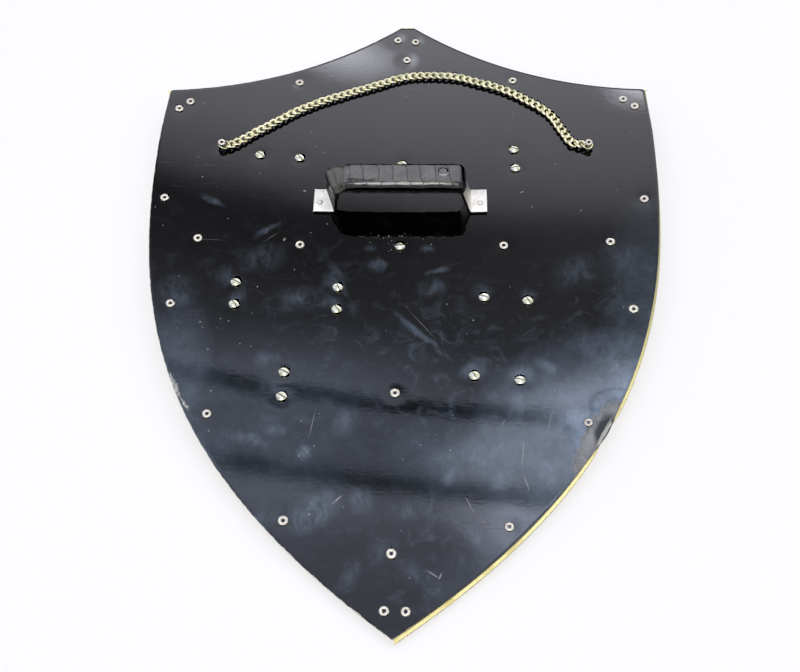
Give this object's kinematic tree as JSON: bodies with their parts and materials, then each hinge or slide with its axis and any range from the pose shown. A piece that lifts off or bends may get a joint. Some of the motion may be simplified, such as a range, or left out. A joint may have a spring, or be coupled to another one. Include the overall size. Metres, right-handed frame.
{
  "type": "heater wall shield",
  "caption": "Bent sheet-metal heater shield, seen from its back: a strap grip, a hanging chain, a border and cross on riveted strips, and screwed-on badges.",
  "frame": {"origin": "middle of the shield's outline at the height of the surface it lies on, face down", "axes": "+X across the shield, +Y towards its top edge, +Z out of its back"},
  "size_m": [0.4591, 0.6067, 0.0486],
  "materials": {
    "black_paint": "high-gloss black paint, hazed and scratched by handling",
    "brass": "polished, dulling at its edges",
    "nickel": "nickel plate, yellowed",
    "bare_steel": "bare, dull",
    "chain_metal": "pale brass-toned plate, worn at the links",
    "wrap_tape": "black tape, satin, with lap seams"
  },
  "bodies": {
    "shield": {"back_plate": "black_paint", "border_strip_top_left": "brass", "border_strip_top_right": "brass", "border_strip_side_left": "brass", "border_strip_side_right": "brass", "cross_bar_upright": "brass", "cross_bar_arm_left": "brass", "cross_bar_arm_right": "brass", "rivet_top_left_1": "nickel", "rivet_top_left_2": "nickel", "rivet_top_left_3": "nickel", "rivet_side_left_1": "nickel", "rivet_side_left_2": "nickel", "rivet_side_left_3": "nickel", "rivet_side_left_4": "nickel", "rivet_side_left_5": "nickel", "rivet_side_left_6": "nickel", "rivet_top_right_1": "nickel", "rivet_top_right_2": "nickel", "rivet_top_right_3": "nickel", "rivet_side_right_1": "nickel", "rivet_side_right_2": "nickel", "rivet_side_right_3": "nickel", "rivet_side_right_4": "nickel", "rivet_side_right_5": "nickel", "rivet_side_right_6": "nickel", "rivet_upright_1": "nickel", "rivet_upright_2": "nickel", "rivet_upright_3": "nickel", "rivet_arm_left_1": "nickel", "rivet_arm_left_2": "nickel", "rivet_arm_right_1": "nickel", "rivet_arm_right_2": "nickel", "rivet_chain_left": "nickel", "rivet_chain_right": "nickel", "crown_badge_upper_left": "brass", "crown_badge_lower_right_high": "brass", "crown_badge_lower_right_low": "brass", "lily_badge_upper_right": "brass", "lily_badge_lower_left_outer": "brass", "lily_badge_lower_left_inner": "brass", "lily_badge_lower_left_low": "brass", "sword_badge": "brass", "grip_strap": "bare_steel", "grip_rivet_left": "bare_steel", "grip_rivet_right": "bare_steel", "grip_wrap": "wrap_tape"},
    "chain": {"chain_run": "chain_metal", "chain_end_link_left": "chain_metal", "chain_end_link_right": "chain_metal"}
  },
  "joints": [
    {"name": "chain_swing", "type": "hinge", "parent": "shield", "child": "chain", "pos_m": [0, 0.1395, 0.018], "axis": [1, 0, 0], "range_deg": [0, 22]}
  ]
}
